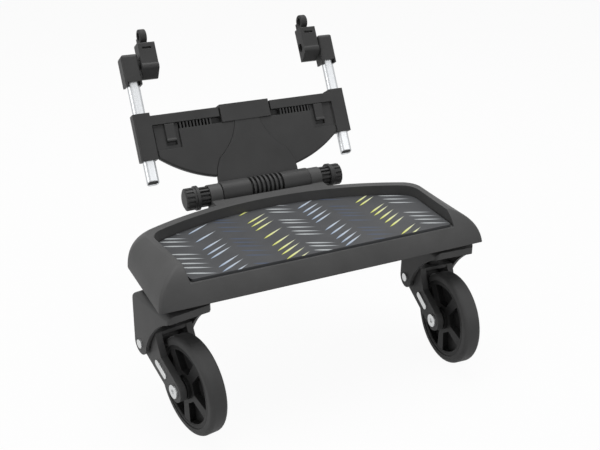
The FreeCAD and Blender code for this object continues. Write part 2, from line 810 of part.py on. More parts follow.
def pocket_plates():
    """Plate behind the finger pocket at the outer corner of each wing, with a slot below the latch tab."""
    for side, sign in SIDES:
        back = box(f"pocket_back_{side}",
                   (f"{sign} * pocket_inner_half", "wing_front + pocket_depth", "pocket_floor_rise"),
                   (f"{sign} * wing_half", "wing_back", "bar_floor - slide_gap"))
        slot = box(f"pocket_slot_{side}",
                   (f"{sign} * latch_half - slot_width / 2", "wing_front", "latch_foot_rise - slot_height"),
                   (f"{sign} * latch_half + slot_width / 2", "wing_back - slot_floor", "latch_foot_rise"))
        finish(cut(f"pocket_plate_{side}", back, [slot]), f"pocket_plate_{side}", NECK)


def wing_lip_edge(edge):
    """True for a front edge along the wings' lower outline."""
    limits = edge.BoundBox
    near = value("slide_gap")
    on_front = limits.YLength < near and abs(limits.Center.y - value("wing_front")) < near
    low = limits.ZMax < value("wing_shoulder_rise") + near
    return on_front and low and limits.XLength > value("wing_lip")


# Arms

SLEEVE_INNER = "(tube_half - tube_width / 2 - slide_gap - sleeve_wall)"
SLEEVE_OUTER = "(tube_half + tube_width / 2 + slide_gap + sleeve_wall)"
BAR_HEAD = "(bar_floor + bar_height)"


def arms():
    """Two half shells on each side: a sleeve round the tube, a bar, and a tongue that runs through the box."""
    for side, sign in SIDES:
        sleeve = box(f"sleeve_{side}", (f"{sign} * {SLEEVE_INNER}", "shell_front", "sleeve_foot_rise"),
                     (f"{sign} * {SLEEVE_OUTER}", "2 * tube_setback - shell_front", "sleeve_head_rise"))
        soft = rounded(f"sleeve_soft_{side}", sleeve, "sleeve_edge_radius", sleeve_edge(sign))
        bar = box(f"bar_{side}", (f"{sign} * bar_inner_half", "shell_front", "bar_floor"),
                  (f"{sign} * ({SLEEVE_INNER} + sleeve_wall)", "shell_back", BAR_HEAD))
        passage = oval(f"sleeve_passage_{side}", f"{sign} * tube_half", "tube_setback",
                       "tube_width + 2 * slide_gap",
                       "tube_depth + 2 * slide_gap", "sleeve_foot_rise - overrun",
                       "sleeve_head_rise - sleeve_foot_rise + 2 * overrun")
        places = [(f"{sign} * {half}", "shell_back", "bar_floor + bar_height / 2")
                  for half in ("arm_screw_inner_half", "arm_screw_outer_half")]
        reach = "shell_back - shell_front - tongue_thickness"
        holes = [screw_hole(f"arm_hole_{side}_{number}", place, reach) for number,
                 place in enumerate(places)]
        whole = cut(f"arm_whole_{side}", fuse(f"arm_solid_{side}", [soft, bar]), [passage] + holes)
        for half, low, high in (("front", "shell_front - overrun", "tube_setback"),
                                ("back", "tube_setback", "2 * tube_setback")):
            keep = box(f"arm_keep_{half}_{side}", (f"{sign} * box_half", low, "sleeve_foot_rise - overrun"),
                       (f"{sign} * ({SLEEVE_OUTER} + overrun)", high, "sleeve_head_rise + overrun"))
            shell = common(f"arm_{half}_shell_{side}", whole, keep)
            if half == ("front" if side == "left" else "back"):
                shell = fuse(f"arm_tongued_{side}", [shell, tongue(side, sign, half)])
            finish(shell, f"arm_{half}_{side}", NECK)
        screws = [screw(f"arm_screw_{side}_{number}", place, reach) for number, place in enumerate(places)]
        finish(group(f"arm_screws_{side}", screws), f"arm_screws_{side}", NECK)


def sleeve_edge(sign):
    """Test for the upright outer edges of a sleeve."""
    def wanted(edge):
        limits = edge.BoundBox
        outside = sign * limits.Center.x > value("tube_half + tube_width / 2")
        return outside and limits.ZLength > value("tube_width") and limits.XLength < value("slide_gap")
    return wanted


def tongue(side, sign, half):
    """Slider behind the box's front wall; the left one runs in front of the right one."""
    low = "tube_setback + slide_gap / 2"
    if half == "front":
        low = "tube_setback - slide_gap / 2 - tongue_thickness"
    return box(f"tongue_{side}", (f"{-sign} * tongue_reach", low, "bar_floor"),
               (f"{sign} * (bar_inner_half + tongue_thickness)", f"{low} + tongue_thickness", BAR_HEAD))


def latches():
    """Finger tab below each bar, flush with the bar's front, with a rolled head and a grip at its foot."""
    back = "shell_front + latch_thickness"
    roll = "bar_floor - slide_gap - latch_thickness / 2"
    side_view = [
        ("shell_front", roll),
        ("arc", "shell_front + latch_thickness / 2", "bar_floor - slide_gap"),
        (back, roll),
        (back, "latch_foot_rise"),
        ("shell_front - latch_grip_depth", "latch_foot_rise"),
        ("shell_front - latch_grip_depth", "latch_foot_rise + latch_grip_height / 2"),
        ("shell_front", "latch_foot_rise + latch_grip_height"),
    ]
    for side, sign in SIDES:
        tab = plate(f"latch_{side}", "YZ_Plane", f"{sign} * latch_half - latch_width / 2", side_view,
                    "latch_width")
        finish(tab, f"latch_tab_{side}", NECK)


# Tubes and caps

def tubes():
    """Flat-oval tubes, each with an end plug below and a cap pinned on above."""
    for side, sign in SIDES:
        middle = f"{sign} * tube_half"
        length = "tube_head_rise - tube_foot_rise"
        pin_start = (middle, "tube_setback - tube_depth / 2", "cap_pin_rise")
        drill = rod(f"tube_drill_{side}", "y",
                    (middle, "tube_setback - tube_depth / 2 - pin_gap", "cap_pin_rise"),
                    "cap_pin_radius + pin_gap", "cap_depth")
        skin = oval(f"tube_skin_{side}", middle, "tube_setback", "tube_width", "tube_depth",
                    "tube_foot_rise", length)
        bore = oval(f"tube_bore_{side}", middle, "tube_setback", "tube_width - 2 * tube_wall",
                    "tube_depth - 2 * tube_wall", "tube_foot_rise - overrun", f"{length} + 2 * overrun")
        finish(cut(f"tube_{side}", skin, [bore, drill, foot_slant(f"tube_slant_{side}", middle, "0")]),
               f"height_tube_{side}", NECK)
        plug = oval(f"plug_{side}", middle, "tube_setback", "tube_width - 2 * tube_wall - 2 * pin_gap",
                    "tube_depth - 2 * tube_wall - 2 * pin_gap", "tube_foot_rise + slide_gap", "plug_height")
        finish(cut(f"plug_cut_{side}", plug, [foot_slant(f"plug_slant_{side}", middle, "tube_wall / 2")]),
               f"tube_plug_{side}", NECK)
        cap(side, sign, drill)
        pin_rod = rod(f"pin_rod_{side}", "y", pin_start, "cap_pin_radius", "(tube_depth + cap_depth) / 2")
        finish(group(f"pin_set_{side}", [pin_rod]), f"cap_pin_{side}", NECK)


def foot_slant(name, middle, lift):
    """Wedge that slants the foot of a tube, so that its end looks to the front."""
    front, back = "tube_setback - tube_depth / 2", "tube_setback + tube_depth / 2"
    outline = [(front, "tube_foot_rise - overrun"), (back, "tube_foot_rise - overrun"),
               (back, f"tube_foot_rise + {lift}"), (front, f"tube_foot_rise + tube_foot_slant + {lift}")]
    return plate(name, "YZ_Plane", f"{middle} - tube_width", outline, "2 * tube_width")


def cap(side, sign, drill):
    """Dark end cap with round edges, skirts at its sides, and a bore for the clamp's bolt."""
    left, right = f"{sign} * tube_half - cap_width / 2", f"{sign} * tube_half + cap_width / 2"
    front, back = "tube_setback - cap_depth / 2", "tube_setback + cap_depth / 2"
    rise = ("cap_foot_rise", "cap_head_rise", "cap_corner_radius", "cap_corner_radius")
    face = plate(f"cap_face_{side}", "XZ_Plane", f"-({back})", arch(left, right, *rise), "cap_depth")
    profile = plate(f"cap_profile_{side}", "YZ_Plane", left, arch(front, back, *rise), "cap_width")
    plan = plate(f"cap_plan_{side}", "XY_Plane", "cap_foot_rise",
                 arch(left, right, back, front, "cap_edge_radius", "-cap_edge_radius"),
                 "cap_head_rise - cap_foot_rise")
    soft = common(f"cap_soft_{side}", common(f"cap_block_{side}", face, profile), plan)
    socket = oval(f"cap_socket_{side}", f"{sign} * tube_half", "tube_setback", "tube_width + 2 * pin_gap",
                  "tube_depth + 2 * pin_gap", "cap_foot_rise - overrun",
                  "tube_head_rise + pin_gap - cap_foot_rise + overrun")
    notch = box(f"cap_notch_{side}", (f"{sign} * tube_half - tube_width / 2", "tube_setback - cap_depth",
                                      "cap_foot_rise - overrun"),
                (f"{sign} * tube_half + tube_width / 2", "tube_setback + cap_depth",
                 "cap_foot_rise + cap_notch_height"))
    inner = f"{sign} * (tube_half - cap_width / 2)"
    bore = cross_rod(f"cap_bolt_bore_{side}", f"{inner} - {sign} * overrun",
                     f"{inner} + {sign} * (clamp_bolt_grip + slide_gap)", "tube_setback", "clamp_rise",
                     "clamp_bolt_radius + pin_gap")
    finish(cut(f"cap_{side}", soft, [socket, notch, bore, drill]), f"tube_cap_{side}", NECK)


# Clamps

BLOCK_OUTER = "(tube_half - cap_width / 2 - slide_gap - clamp_boss_length)"
BLOCK_MIDDLE = f"({BLOCK_OUTER} - block_width / 2)"


def clamps():
    """Block beside each cap, turning on a bolt, with a rubber strap that makes the loop on top."""
    for side, sign in SIDES:
        clamp_block(side, sign)
        strap(side, sign)
        inner = f"{sign} * (tube_half - cap_width / 2)"
        bolt = fuse(f"clamp_bolt_{side}", [
            cross_rod(f"clamp_shank_{side}", f"{sign} * {BLOCK_MIDDLE}",
                      f"{inner} + {sign} * clamp_bolt_grip",
                      "tube_setback", "clamp_rise", "clamp_bolt_radius"),
            cross_rod(f"clamp_head_{side}", f"{sign} * ({BLOCK_MIDDLE} - clamp_boss_length)",
                      f"{sign} * {BLOCK_MIDDLE}", "tube_setback", "clamp_rise", "clamp_boss_radius")])
        finish(bolt, f"clamp_bolt_{side}", NECK)


def clamp_block(side, sign):
    """Upright block: a rolled lower front edge over a sloping foot, a slot near its top, a boss to the cap."""
    profile = [
        ("block_front", "block_head_rise"),
        ("block_back", "block_head_rise"),
        ("block_back", "block_foot_rise"),
        ("block_slope_back", "block_foot_rise"),
        ("block_slope_setback", "block_slope_rise"),
        ("arc", "block_front - block_roll_bulge", "block_slope_rise + block_roll_height / 2"),
        ("block_front", "block_slope_rise + block_roll_height"),
    ]
    low = f"{sign} * {BLOCK_MIDDLE} - block_width / 2"
    block = plate(f"block_{side}", "YZ_Plane", low, profile, "block_width")
    soft = rounded(f"block_soft_{side}", block, "block_edge_radius", block_edge)
    boss = cross_rod(f"block_boss_{side}", f"{sign} * {BLOCK_MIDDLE}",
                     f"{sign} * ({BLOCK_OUTER} + clamp_boss_length)", "tube_setback", "clamp_rise",
                     "clamp_boss_radius")
    middle = f"{sign} * {BLOCK_MIDDLE}"
    slot = box(f"block_slot_{side}",
               (f"{middle} - block_slot_width / 2", "block_front - overrun", "block_slot_rise"),
               (f"{middle} + block_slot_width / 2", "block_front + block_slot_depth",
                "block_slot_rise + block_slot_height"))
    root = box(f"block_root_{side}",
               (f"{middle} - strap_width / 2 - pin_gap", "loop_setback - strap_root_depth / 2 - pin_gap",
                "strap_root_rise - pin_gap"),
               (f"{middle} + strap_width / 2 + pin_gap", "loop_setback + strap_root_depth / 2 + pin_gap",
                "block_head_rise + overrun"))
    shank = cross_rod(f"block_bore_{side}", f"{middle} - {sign} * overrun",
                      f"{sign} * ({BLOCK_OUTER} + clamp_boss_length + overrun)", "tube_setback", "clamp_rise",
                      "clamp_bolt_radius + pin_gap")
    head = cross_rod(f"block_sink_{side}", f"{sign} * ({BLOCK_MIDDLE} - block_width)",
                     f"{sign} * {BLOCK_MIDDLE}",
                     "tube_setback", "clamp_rise", "clamp_boss_radius + pin_gap")
    finish(cut(f"clamp_block_{side}", fuse(f"block_solid_{side}", [soft, boss]), [slot, root, shank, head]),
           f"clamp_block_{side}", NECK)


def block_edge(edge):
    """True for the straight edges along X at the block's head."""
    limits = edge.BoundBox
    return limits.XLength > value("block_width") / 2 and limits.ZMin > value("block_slot_rise")


def strap(side, sign):
    """Rubber strap: a soft-edged loop over a root in the block's head, and a tail on lobes down its back."""
    middle = f"{sign} * {BLOCK_MIDDLE}"
    low, high = f"{middle} - strap_width / 2", f"{middle} + strap_width / 2"
    tail_front = "(block_back + slide_gap + strap_lobe_radius)"
    root = box(f"strap_root_{side}", (low, "loop_setback - strap_root_depth / 2", "strap_root_rise"),
               (high, "loop_setback + strap_root_depth / 2", "loop_rise - loop_bore_radius"))
    disc = cross_rod(f"strap_disc_{side}", low, high, "loop_setback", "loop_rise", "loop_radius")
    ring = rounded(f"strap_ring_{side}", disc, "loop_edge_radius",
                   lambda edge: edge.BoundBox.XLength < value("pin_gap"))
    tail = box(f"strap_tail_{side}", (low, tail_front, "strap_tail_foot_rise"),
               (high, f"{tail_front} + strap_tail_thickness", "loop_rise"))
    bridge = box(f"strap_bridge_{side}", (low, "loop_setback", "block_head_rise + slide_gap"),
                 (high, f"{tail_front} + strap_tail_thickness", "loop_rise"))
    solids = [root, ring, tail, bridge]
    for number in range(STRAP_LOBES):
        height = f"strap_tail_foot_rise + {number} * strap_lobe_pitch"
        solids.append(cross_rod(f"strap_lobe_{side}_{number}", low, high,
                                tail_front, height, "strap_lobe_radius"))
    bore = cross_rod(f"strap_bore_{side}", f"{low} - overrun", f"{high} + overrun", "loop_setback",
                     "loop_rise",
                     "loop_bore_radius")
    finish(cut(f"strap_{side}", fuse(f"strap_solid_{side}", solids), [bore]), f"clamp_strap_{side}", NECK)


# Casters

PIVOT = ("pivot_reach", "pivot_height")
AXLE = ("-trail", "wheel_radius")


def casters():
    for side, sign in SIDES:
        frame = caster_frame(side, sign)
        crown(side, frame)
        swivel(side, frame)
        swing_arm(side, frame)
        wheel(side, frame)


def crown(side, frame):
    """Top plate with two downturned cheeks that carry the pivot pin, and a low front apron."""
    cheek = [
        ("-cheek_front_reach", "crown_top"),
        ("-cheek_front_reach", "cheek_front_height"),
        ("arc", "-cheek_arch_reach", "cheek_arch_height"),
        ("cheek_heel_reach", "cheek_heel_height"),
        ("pivot_reach", "pivot_height - ear_radius / 2"),
        ("pivot_reach + ear_radius", "pivot_height"),
        ("cheek_back_reach", "crown_top - crown_back_radius"),
        ("arc", "cheek_back_reach - crown_back_radius * (1 - cos(45))",
         "crown_top - crown_back_radius * (1 - cos(45))"),
        ("cheek_back_reach - crown_back_radius", "crown_top"),
    ]
    foot = "cheek_heel_height - 2 * ear_radius"
    top = plate(f"crown_plan_{side}", "XY_Plane", foot, [
        ("-crown_half", "-cheek_front_reach"),
        ("visor_half", "-cheek_front_reach"),
        ("crown_half", "-cheek_front_reach + visor_setback"),
        ("crown_half", "pivot_reach + 2 * ear_radius"),
        ("-crown_half", "pivot_reach + 2 * ear_radius"),
    ], f"crown_top - ({foot})")
    across = plate(f"crown_across_{side}", "XZ_Plane", "-pivot_reach - 2 * ear_radius",
                   arch("-crown_half", "crown_half", foot, "crown_top", "crown_side_radius",
                        "crown_side_radius"),
                   "pivot_reach + 2 * ear_radius + cheek_front_reach")
    bulk = plate(f"crown_bulk_{side}", "YZ_Plane", "-crown_half", cheek, "2 * crown_half")
    ears = cross_rod(f"crown_ears_{side}", "-crown_half", "crown_half", *PIVOT, "ear_radius")
    domed = common(f"crown_domed_{side}", fuse(f"crown_raw_{side}", [bulk, ears]), across)
    block = common(f"crown_block_{side}", domed,
                   rounded(f"crown_soft_{side}", top, "crown_corner_radius", crown_corner))
    hollow = box(f"crown_hollow_{side}",
                 ("-crown_half + cheek_thickness", "-cheek_front_reach + cheek_thickness", "0"),
                 ("crown_half - cheek_thickness", "pivot_reach + 3 * ear_radius",
                  "crown_top - crown_plate"))
    bore = cross_rod(f"crown_bore_{side}", "-crown_half - overrun", "crown_half + overrun", *PIVOT,
                     "pivot_radius + pin_gap")
    hole = rod(f"crown_hole_{side}", "z", ("0", "0", "crown_top - crown_plate - overrun"),
               "stem_radius + pin_gap",
               "crown_plate + 2 * overrun")
    finish(cut(f"crown_{side}", block, [hollow, bore, hole]), f"caster_crown_{side}", frame)
    outer = "crown_half + pivot_head_height"
    pivot = fuse(f"pivot_{side}", [
        cross_rod(f"pivot_shank_{side}", "-crown_half - pivot_head_height / 2",
                  "crown_half + pivot_head_height / 2",
                  *PIVOT, "pivot_radius"),
        cross_rod(f"pivot_head_low_{side}", f"-({outer})", "-crown_half", *PIVOT, "pivot_head_radius"),
        cross_rod(f"pivot_head_high_{side}", "crown_half", outer, *PIVOT, "pivot_head_radius")])
    finish(pivot, f"pivot_pin_{side}", frame)


def crown_corner(edge):
    """True for the two upright front corners of the crown's plan."""
    limits = edge.BoundBox
    upright = limits.ZLength > value("crown_plate") and limits.XLength < value("slide_gap")
    return upright and limits.Center.y < 0


def swivel(side, frame):
    """Stem up through the crown into the deck's bush, its washer, and the rubber buffer under the crown."""
    plate_foot = "crown_top - crown_plate"
    stem = fuse(f"stem_{side}", [
        rod(f"stem_shank_{side}", "z", ("0", "0", f"{plate_foot} - stem_head_height"), "stem_radius",
            f"stem_top - slide_gap - crown_top + crown_plate + stem_head_height"),
        rod(f"stem_head_{side}", "z", ("0", "0", f"{plate_foot} - stem_head_height"), "stem_head_radius",
            "stem_head_height")])
    finish(stem, f"swivel_stem_{side}", frame)
    disc = rod(f"washer_disc_{side}", "z", ("0", "0", "crown_top"), "washer_radius", "washer_thickness")
    eye = rod(f"washer_eye_{side}", "z", ("0", "0", "crown_top - overrun"), "stem_radius + pin_gap",
              "washer_thickness + 2 * overrun")
    finish(cut(f"washer_{side}", disc, [eye]), f"swivel_washer_{side}", frame)
    seat = "bridge_floor + bridge_thickness + slide_gap"
    half = f"({plate_foot} - ({seat})) / 2"
    buffer = fuse(f"buffer_{side}", [
        rod(f"buffer_low_{side}", "z", ("0", "buffer_reach", seat), "buffer_radius", half),
        rod(f"buffer_high_{side}", "z", ("0", "buffer_reach", f"{seat} + {half}"), "buffer_radius", half)])
    finish(buffer, f"suspension_buffer_{side}", frame)


def swing_arm(side, frame):
    """Fork of two flat bars, joined by a tube round the pivot pin and the buffer's seat, with the axle."""
    inner, outer = "swing_inner_half", "swing_inner_half + swing_thickness"
    solids = [cross_rod(f"swing_tube_{side}", f"-({inner}) - overrun", f"{inner} + overrun", *PIVOT,
                        "swing_tube_radius"),
              box(f"swing_bridge_{side}", (f"-({outer})", "bridge_front_reach", "bridge_floor"),
                  (outer, "bridge_back_reach", "bridge_floor + bridge_thickness"))]
    for place, low, high in (("low", f"-({outer})", f"-{inner}"), ("high", inner, outer)):
        solids.append(link(f"swing_bar_{place}_{side}", AXLE, "swing_axle_radius", PIVOT,
                           "swing_pivot_radius",
                           low, high))
        solids.append(plate(f"swing_horn_{place}_{side}", "YZ_Plane", low, [
            ("bridge_front_reach", "bridge_floor + bridge_thickness"),
            ("bridge_front_reach - swing_axle_radius",
             "bridge_floor - swing_pivot_radius - swing_axle_radius"),
            ("pivot_reach", "pivot_height"),
            ("bridge_back_reach", "bridge_floor + bridge_thickness"),
        ], f"({high}) - ({low})"))
    bores = [cross_rod(f"swing_bore_{side}", f"-({outer}) - overrun", f"{outer} + overrun", *PIVOT,
                       "pivot_radius + pin_gap"),
             cross_rod(f"swing_eye_{side}", f"-({outer}) - overrun", f"{outer} + overrun", *AXLE,
                       "bolt_radius + pin_gap")]
    finish(cut(f"swing_{side}", fuse(f"swing_solid_{side}", solids), bores), f"swing_arm_{side}", frame)
    badges(side, frame, outer)
    bolt_end = f"{outer} + bolt_head_height"
    bolt = fuse(f"bolt_solid_{side}", [
        cross_rod(f"bolt_shank_{side}", f"-({bolt_end})", bolt_end, *AXLE, "bolt_radius"),
        cross_rod(f"bolt_head_low_{side}", f"-({bolt_end})", f"-({outer})", *AXLE, "bolt_head_radius"),
        cross_rod(f"bolt_head_high_{side}", outer, bolt_end, *AXLE, "bolt_head_radius")])
    sockets = [cross_rod(f"bolt_socket_{place}_{side}", f"{sign} * ({bolt_end} - bolt_socket_depth)",
                         f"{sign} * ({bolt_end} + overrun)", *AXLE, "bolt_socket_radius")
               for place, sign in (("low", -1), ("high", 1))]
    finish(cut(f"bolt_{side}", bolt, sockets), f"axle_bolt_{side}", frame)


def badges(side, frame, outer):
    """Bright oval caps on the outer faces of the fork, half way along its bars."""
    run, rise = "(pivot_reach + trail)", "(pivot_height - wheel_radius)"
    span = f"sqrt({run}^2 + {rise}^2)"
    reach = "(badge_length - badge_width) / 2"
    middle = (f"(pivot_reach - trail) / 2 - {run} * {BADGE_SHARE}",
              f"(pivot_height + wheel_radius) / 2 - {rise} * {BADGE_SHARE}")
    ends = [(f"{middle[0]} + {sign} * {reach} * {run} / {span}",
             f"{middle[1]} + {sign} * {reach} * {rise} / {span}")
            for sign in (-1, 1)]
    bars = [link(f"badge_{place}_{side}", ends[0], "badge_width / 2", ends[1], "badge_width / 2", low, high)
            for place, low, high in (("low", f"-({outer}) - badge_thickness", f"-({outer})"),
                                     ("high", outer, f"{outer} + badge_thickness"))]
    finish(group(f"badges_{side}", bars), f"swing_badges_{side}", frame)


# Wheels

def wheel_frame(frame):
    return f"{frame} * placement(vector(0; -trail; wheel_radius); rotation(vector(1; 0; 0); 0))"


def wheel(side, frame):
    """Five-spoke rim on two flanged bushes, and the tyre round it."""
    place = wheel_frame(frame)
    rim_radius = "(wheel_radius - tyre_height)"
    head = f"({rim_radius} - rim_thickness - window_margin)"
    window = [
        ("-window_foot_half", "window_foot_radius"),
        ("window_foot_half", "window_foot_radius"),
        (f"{head} * sin(window_half_turn)", f"{head} * cos(window_half_turn)"),
        ("arc", "0", head),
        (f"-{head} * sin(window_half_turn)", f"{head} * cos(window_half_turn)"),
    ]
    body = doc.addObject("PartDesign::Body", f"spider_{side}")
    disc = body.newObject("PartDesign::Pad", f"spider_disc_{side}")
    disc.Profile = circle(body, f"spider_outline_{side}", "-web_thickness / 2",
                          f"{rim_radius} - rim_thickness / 2")
    bind(disc, "Length", "web_thickness")
    doc.recompute()
    depth = "(web_thickness - window_web) / 2"
    for face, lift, turned_round in (("outer", "web_thickness / 2", False),
                                     ("inner", "-web_thickness / 2", True)):
        pocket = body.newObject("PartDesign::Pocket", f"spider_{face}_window_{side}")
        pocket.Profile = sketch(body, f"window_{face}_outline_{side}", "YZ_Plane", lift, window)
        bind(pocket, "Length", depth)
        pocket.Reversed = turned_round
        doc.recompute()
        ring = body.newObject("PartDesign::PolarPattern", f"spider_{face}_windows_{side}")
        ring.Originals = [pocket]
        ring.Axis = (origin(body, "X_Axis"), [""])
        ring.Angle = 360
        ring.Occurrences = SPOKES
        body.Tip = ring
        doc.recompute()
    half = "rim_width / 2"
    hoop = cut(f"hoop_{side}",
               cross_rod(f"hoop_out_{side}", f"-{half}", half, "0", "0", f"{rim_radius} - pin_gap"),
               [cross_rod(f"hoop_in_{side}", f"-{half} - overrun", f"{half} + overrun", "0", "0",
                          f"{rim_radius} - rim_thickness")])
    hub_half = "(swing_inner_half - slide_gap - bush_flange_height)"
    hub = cross_rod(f"hub_{side}", f"-{hub_half}", hub_half, "0", "0", "hub_radius")
    bores = [
        cross_rod(f"hub_bore_{side}", f"-{hub_half} - overrun", f"{hub_half} + overrun", "0", "0",
                  "bolt_radius + bush_flange_height"),
        cross_rod(f"hub_seat_low_{side}", f"-{hub_half} - overrun", f"-{hub_half} + bush_length", "0", "0",
                  "hub_bush_radius + pin_gap"),
        cross_rod(f"hub_seat_high_{side}", f"{hub_half} - bush_length", f"{hub_half} + overrun", "0", "0",
                  "hub_bush_radius + pin_gap"),
    ]
    finish(cut(f"rim_{side}", fuse(f"rim_solid_{side}", [body, hoop, hub]), bores), f"wheel_rim_{side}",
           place)
    tyre_half = "tyre_width / 2"
    outline = [
        (f"-{tyre_half}", rim_radius),
        (tyre_half, rim_radius),
        (tyre_half, "wheel_radius - tyre_wall_drop"),
        ("arc", f"{tyre_half} - tyre_shoulder_inset", "wheel_radius - tyre_shoulder_drop"),
        (f"{tyre_half} - tyre_tread_inset", "wheel_radius"),
        (f"-{tyre_half} + tyre_tread_inset", "wheel_radius"),
        ("arc", f"-{tyre_half} + tyre_shoulder_inset", "wheel_radius - tyre_shoulder_drop"),
        (f"-{tyre_half}", "wheel_radius - tyre_wall_drop"),
    ]
    finish(turned(f"tyre_{side}", outline), f"tyre_{side}", place)
    bushes = []
    for name, sign in (("low", -1), ("high", 1)):
        outer = f"{sign} * ({hub_half} + bush_flange_height)"
        sleeve = fuse(f"bush_solid_{name}_{side}", [
            cross_rod(f"bush_sleeve_{name}_{side}", f"{sign} * ({hub_half} - bush_length + pin_gap)",
                      outer, "0", "0",
                      "hub_bush_radius"),
            cross_rod(f"bush_flange_{name}_{side}", f"{sign} * {hub_half}", outer, "0", "0",
                      "bush_flange_radius")])
        eye = cross_rod(f"bush_eye_{name}_{side}", "0", f"{outer} + {sign} * overrun", "0", "0",
                        "bolt_radius + pin_gap")
        bushes.append(cut(f"wheel_bush_{name}_{side}", sleeve, [eye]))
    finish(group(f"wheel_bushes_{side}", bushes), f"wheel_bushes_{side}", place)


def circle(body, name, lift, radius):
    """Circle about the X axis on the body's YZ plane, lifted along X."""
    made = body.newObject("Sketcher::SketchObject", name)
    made.AttachmentSupport = [(origin(body, "YZ_Plane"), "")]
    made.MapMode = "FlatFace"
    bind(made, "AttachmentOffset.Base.z", lift)
    made.addGeometry(Part.Circle(FreeCAD.Vector(), FreeCAD.Vector(0, 0, 1), value(radius)))
    made.addConstraint(Sketcher.Constraint("Coincident", 0, 3, -1, 1))
    index = made.addConstraint(Sketcher.Constraint("Radius", 0, value(radius)))
    bind(made, f"Constraints[{index}]", radius)
    return made


def check():
    """Stop on any failed object or broken shape."""
    doc.recompute()
    for item in doc.Objects:
        if "Invalid" in item.State or "Error" in item.State:
            raise RuntimeError(f"{item.Name} failed: {item.State}")
    for item in PIECES:
        if item.Shape.isNull() or not item.Shape.isValid():
            raise RuntimeError(f"{item.Label} has no valid shape")


def write():
    os.makedirs("parts", exist_ok=True)
    for item in PIECES:
        item.Shape.exportStep(f"parts/{item.Label}.step")
        limits = item.Shape.BoundBox
        print(item.Label, len(item.Shape.Solids), round(item.Shape.Volume, 1),
              [round(v, 1) for v in (limits.XMin, limits.YMin, limits.ZMin, limits.XMax, limits.YMax,
                                     limits.ZMax)])


deck_board()
deck_mat()
swivel_bushes()
hinge_axle()
hinge_collars()
hinge_knobs()
neck_cover()
wing_plate()
arms()
pocket_plates()
latches()
tubes()
clamps()
casters()
check()
write()
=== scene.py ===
"""Buggy board: finishes, printed mat, springs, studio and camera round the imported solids."""
import json
import math

import bpy
import numpy as np
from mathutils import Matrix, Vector


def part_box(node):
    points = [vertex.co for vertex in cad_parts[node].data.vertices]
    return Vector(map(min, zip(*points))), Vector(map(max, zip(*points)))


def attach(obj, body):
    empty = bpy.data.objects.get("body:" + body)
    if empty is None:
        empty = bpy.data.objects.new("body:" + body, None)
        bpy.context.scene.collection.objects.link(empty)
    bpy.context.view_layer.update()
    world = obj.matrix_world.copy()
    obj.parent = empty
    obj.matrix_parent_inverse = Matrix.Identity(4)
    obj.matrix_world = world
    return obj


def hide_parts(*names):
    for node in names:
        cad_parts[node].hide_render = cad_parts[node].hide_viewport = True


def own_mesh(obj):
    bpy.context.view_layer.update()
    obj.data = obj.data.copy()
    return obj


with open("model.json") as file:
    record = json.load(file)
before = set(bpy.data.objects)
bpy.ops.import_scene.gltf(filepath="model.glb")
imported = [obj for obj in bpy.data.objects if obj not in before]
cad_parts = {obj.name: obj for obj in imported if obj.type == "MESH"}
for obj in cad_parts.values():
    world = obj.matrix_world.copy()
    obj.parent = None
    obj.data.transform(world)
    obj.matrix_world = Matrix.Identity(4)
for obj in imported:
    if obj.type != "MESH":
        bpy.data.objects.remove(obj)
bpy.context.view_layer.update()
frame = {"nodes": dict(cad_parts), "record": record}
MM = 0.001


# Colours and nodes

def linear(hex_colour):
    """sRGB hex to linear RGBA: the standard curve, with its straight toe below 0.04045."""
    share = np.array([int(hex_colour[i:i + 2], 16) for i in (1, 3, 5)]) / 255
    curve = np.where(share <= 0.04045, share / 12.92, ((share + 0.055) / 1.055) ** 2.4)
    return (*curve.tolist(), 1.0)


def add(tree, kind, settings=None, inputs=None):
    """Add one node.

    Settings are attributes by name, or the name of an operation alone; stops are a ramp's
    (position, hex) pairs. Inputs go by name or by place; each is a value, a socket, or a node,
    which stands for its first output.
    """
    node = tree.nodes.new("ShaderNode" + kind)
    settings = {"operation": settings} if isinstance(settings, str) else dict(settings or {})
    stops = settings.pop("stops", ())
    for name, setting in settings.items():
        setattr(node, name, setting)
    for number, (position, colour) in enumerate(stops):
        points = node.color_ramp.elements
        point = points[number] if number < len(points) else points.new(position)
        point.position, point.color = position, linear(colour)
    if isinstance(inputs, tuple):
        inputs = dict(enumerate(inputs))
    for key, given in (inputs or {}).items():
        source = given.outputs[0] if isinstance(given, bpy.types.Node) else given
        if isinstance(source, bpy.types.NodeSocket):
            tree.links.new(source, node.inputs[key])
        else:
            node.inputs[key].default_value = source
    return node


def new_tree(name):
    """Material with an empty node tree, and that tree."""
    made = bpy.data.materials.new(name)
    made.use_nodes = True
    made.node_tree.nodes.clear()
    return made, made.node_tree


def finish_surface(tree, relief, strength, depth_mm, edge_mm, inputs):
    """Shader with softened edges and a shallow relief, joined to the material's output."""
    bevel_samples = 6
    soft = add(tree, "Bevel", {"samples": bevel_samples}, {"Radius": edge_mm * MM})
    bump = add(tree, "Bump", None, {
        "Height": relief, "Strength": strength, "Distance": depth_mm * MM, "Normal": soft})
    shader = add(tree, "BsdfPrincipled", None, {**inputs, "Normal": bump})
    add(tree, "OutputMaterial", None, {"Surface": shader})


# Finishes

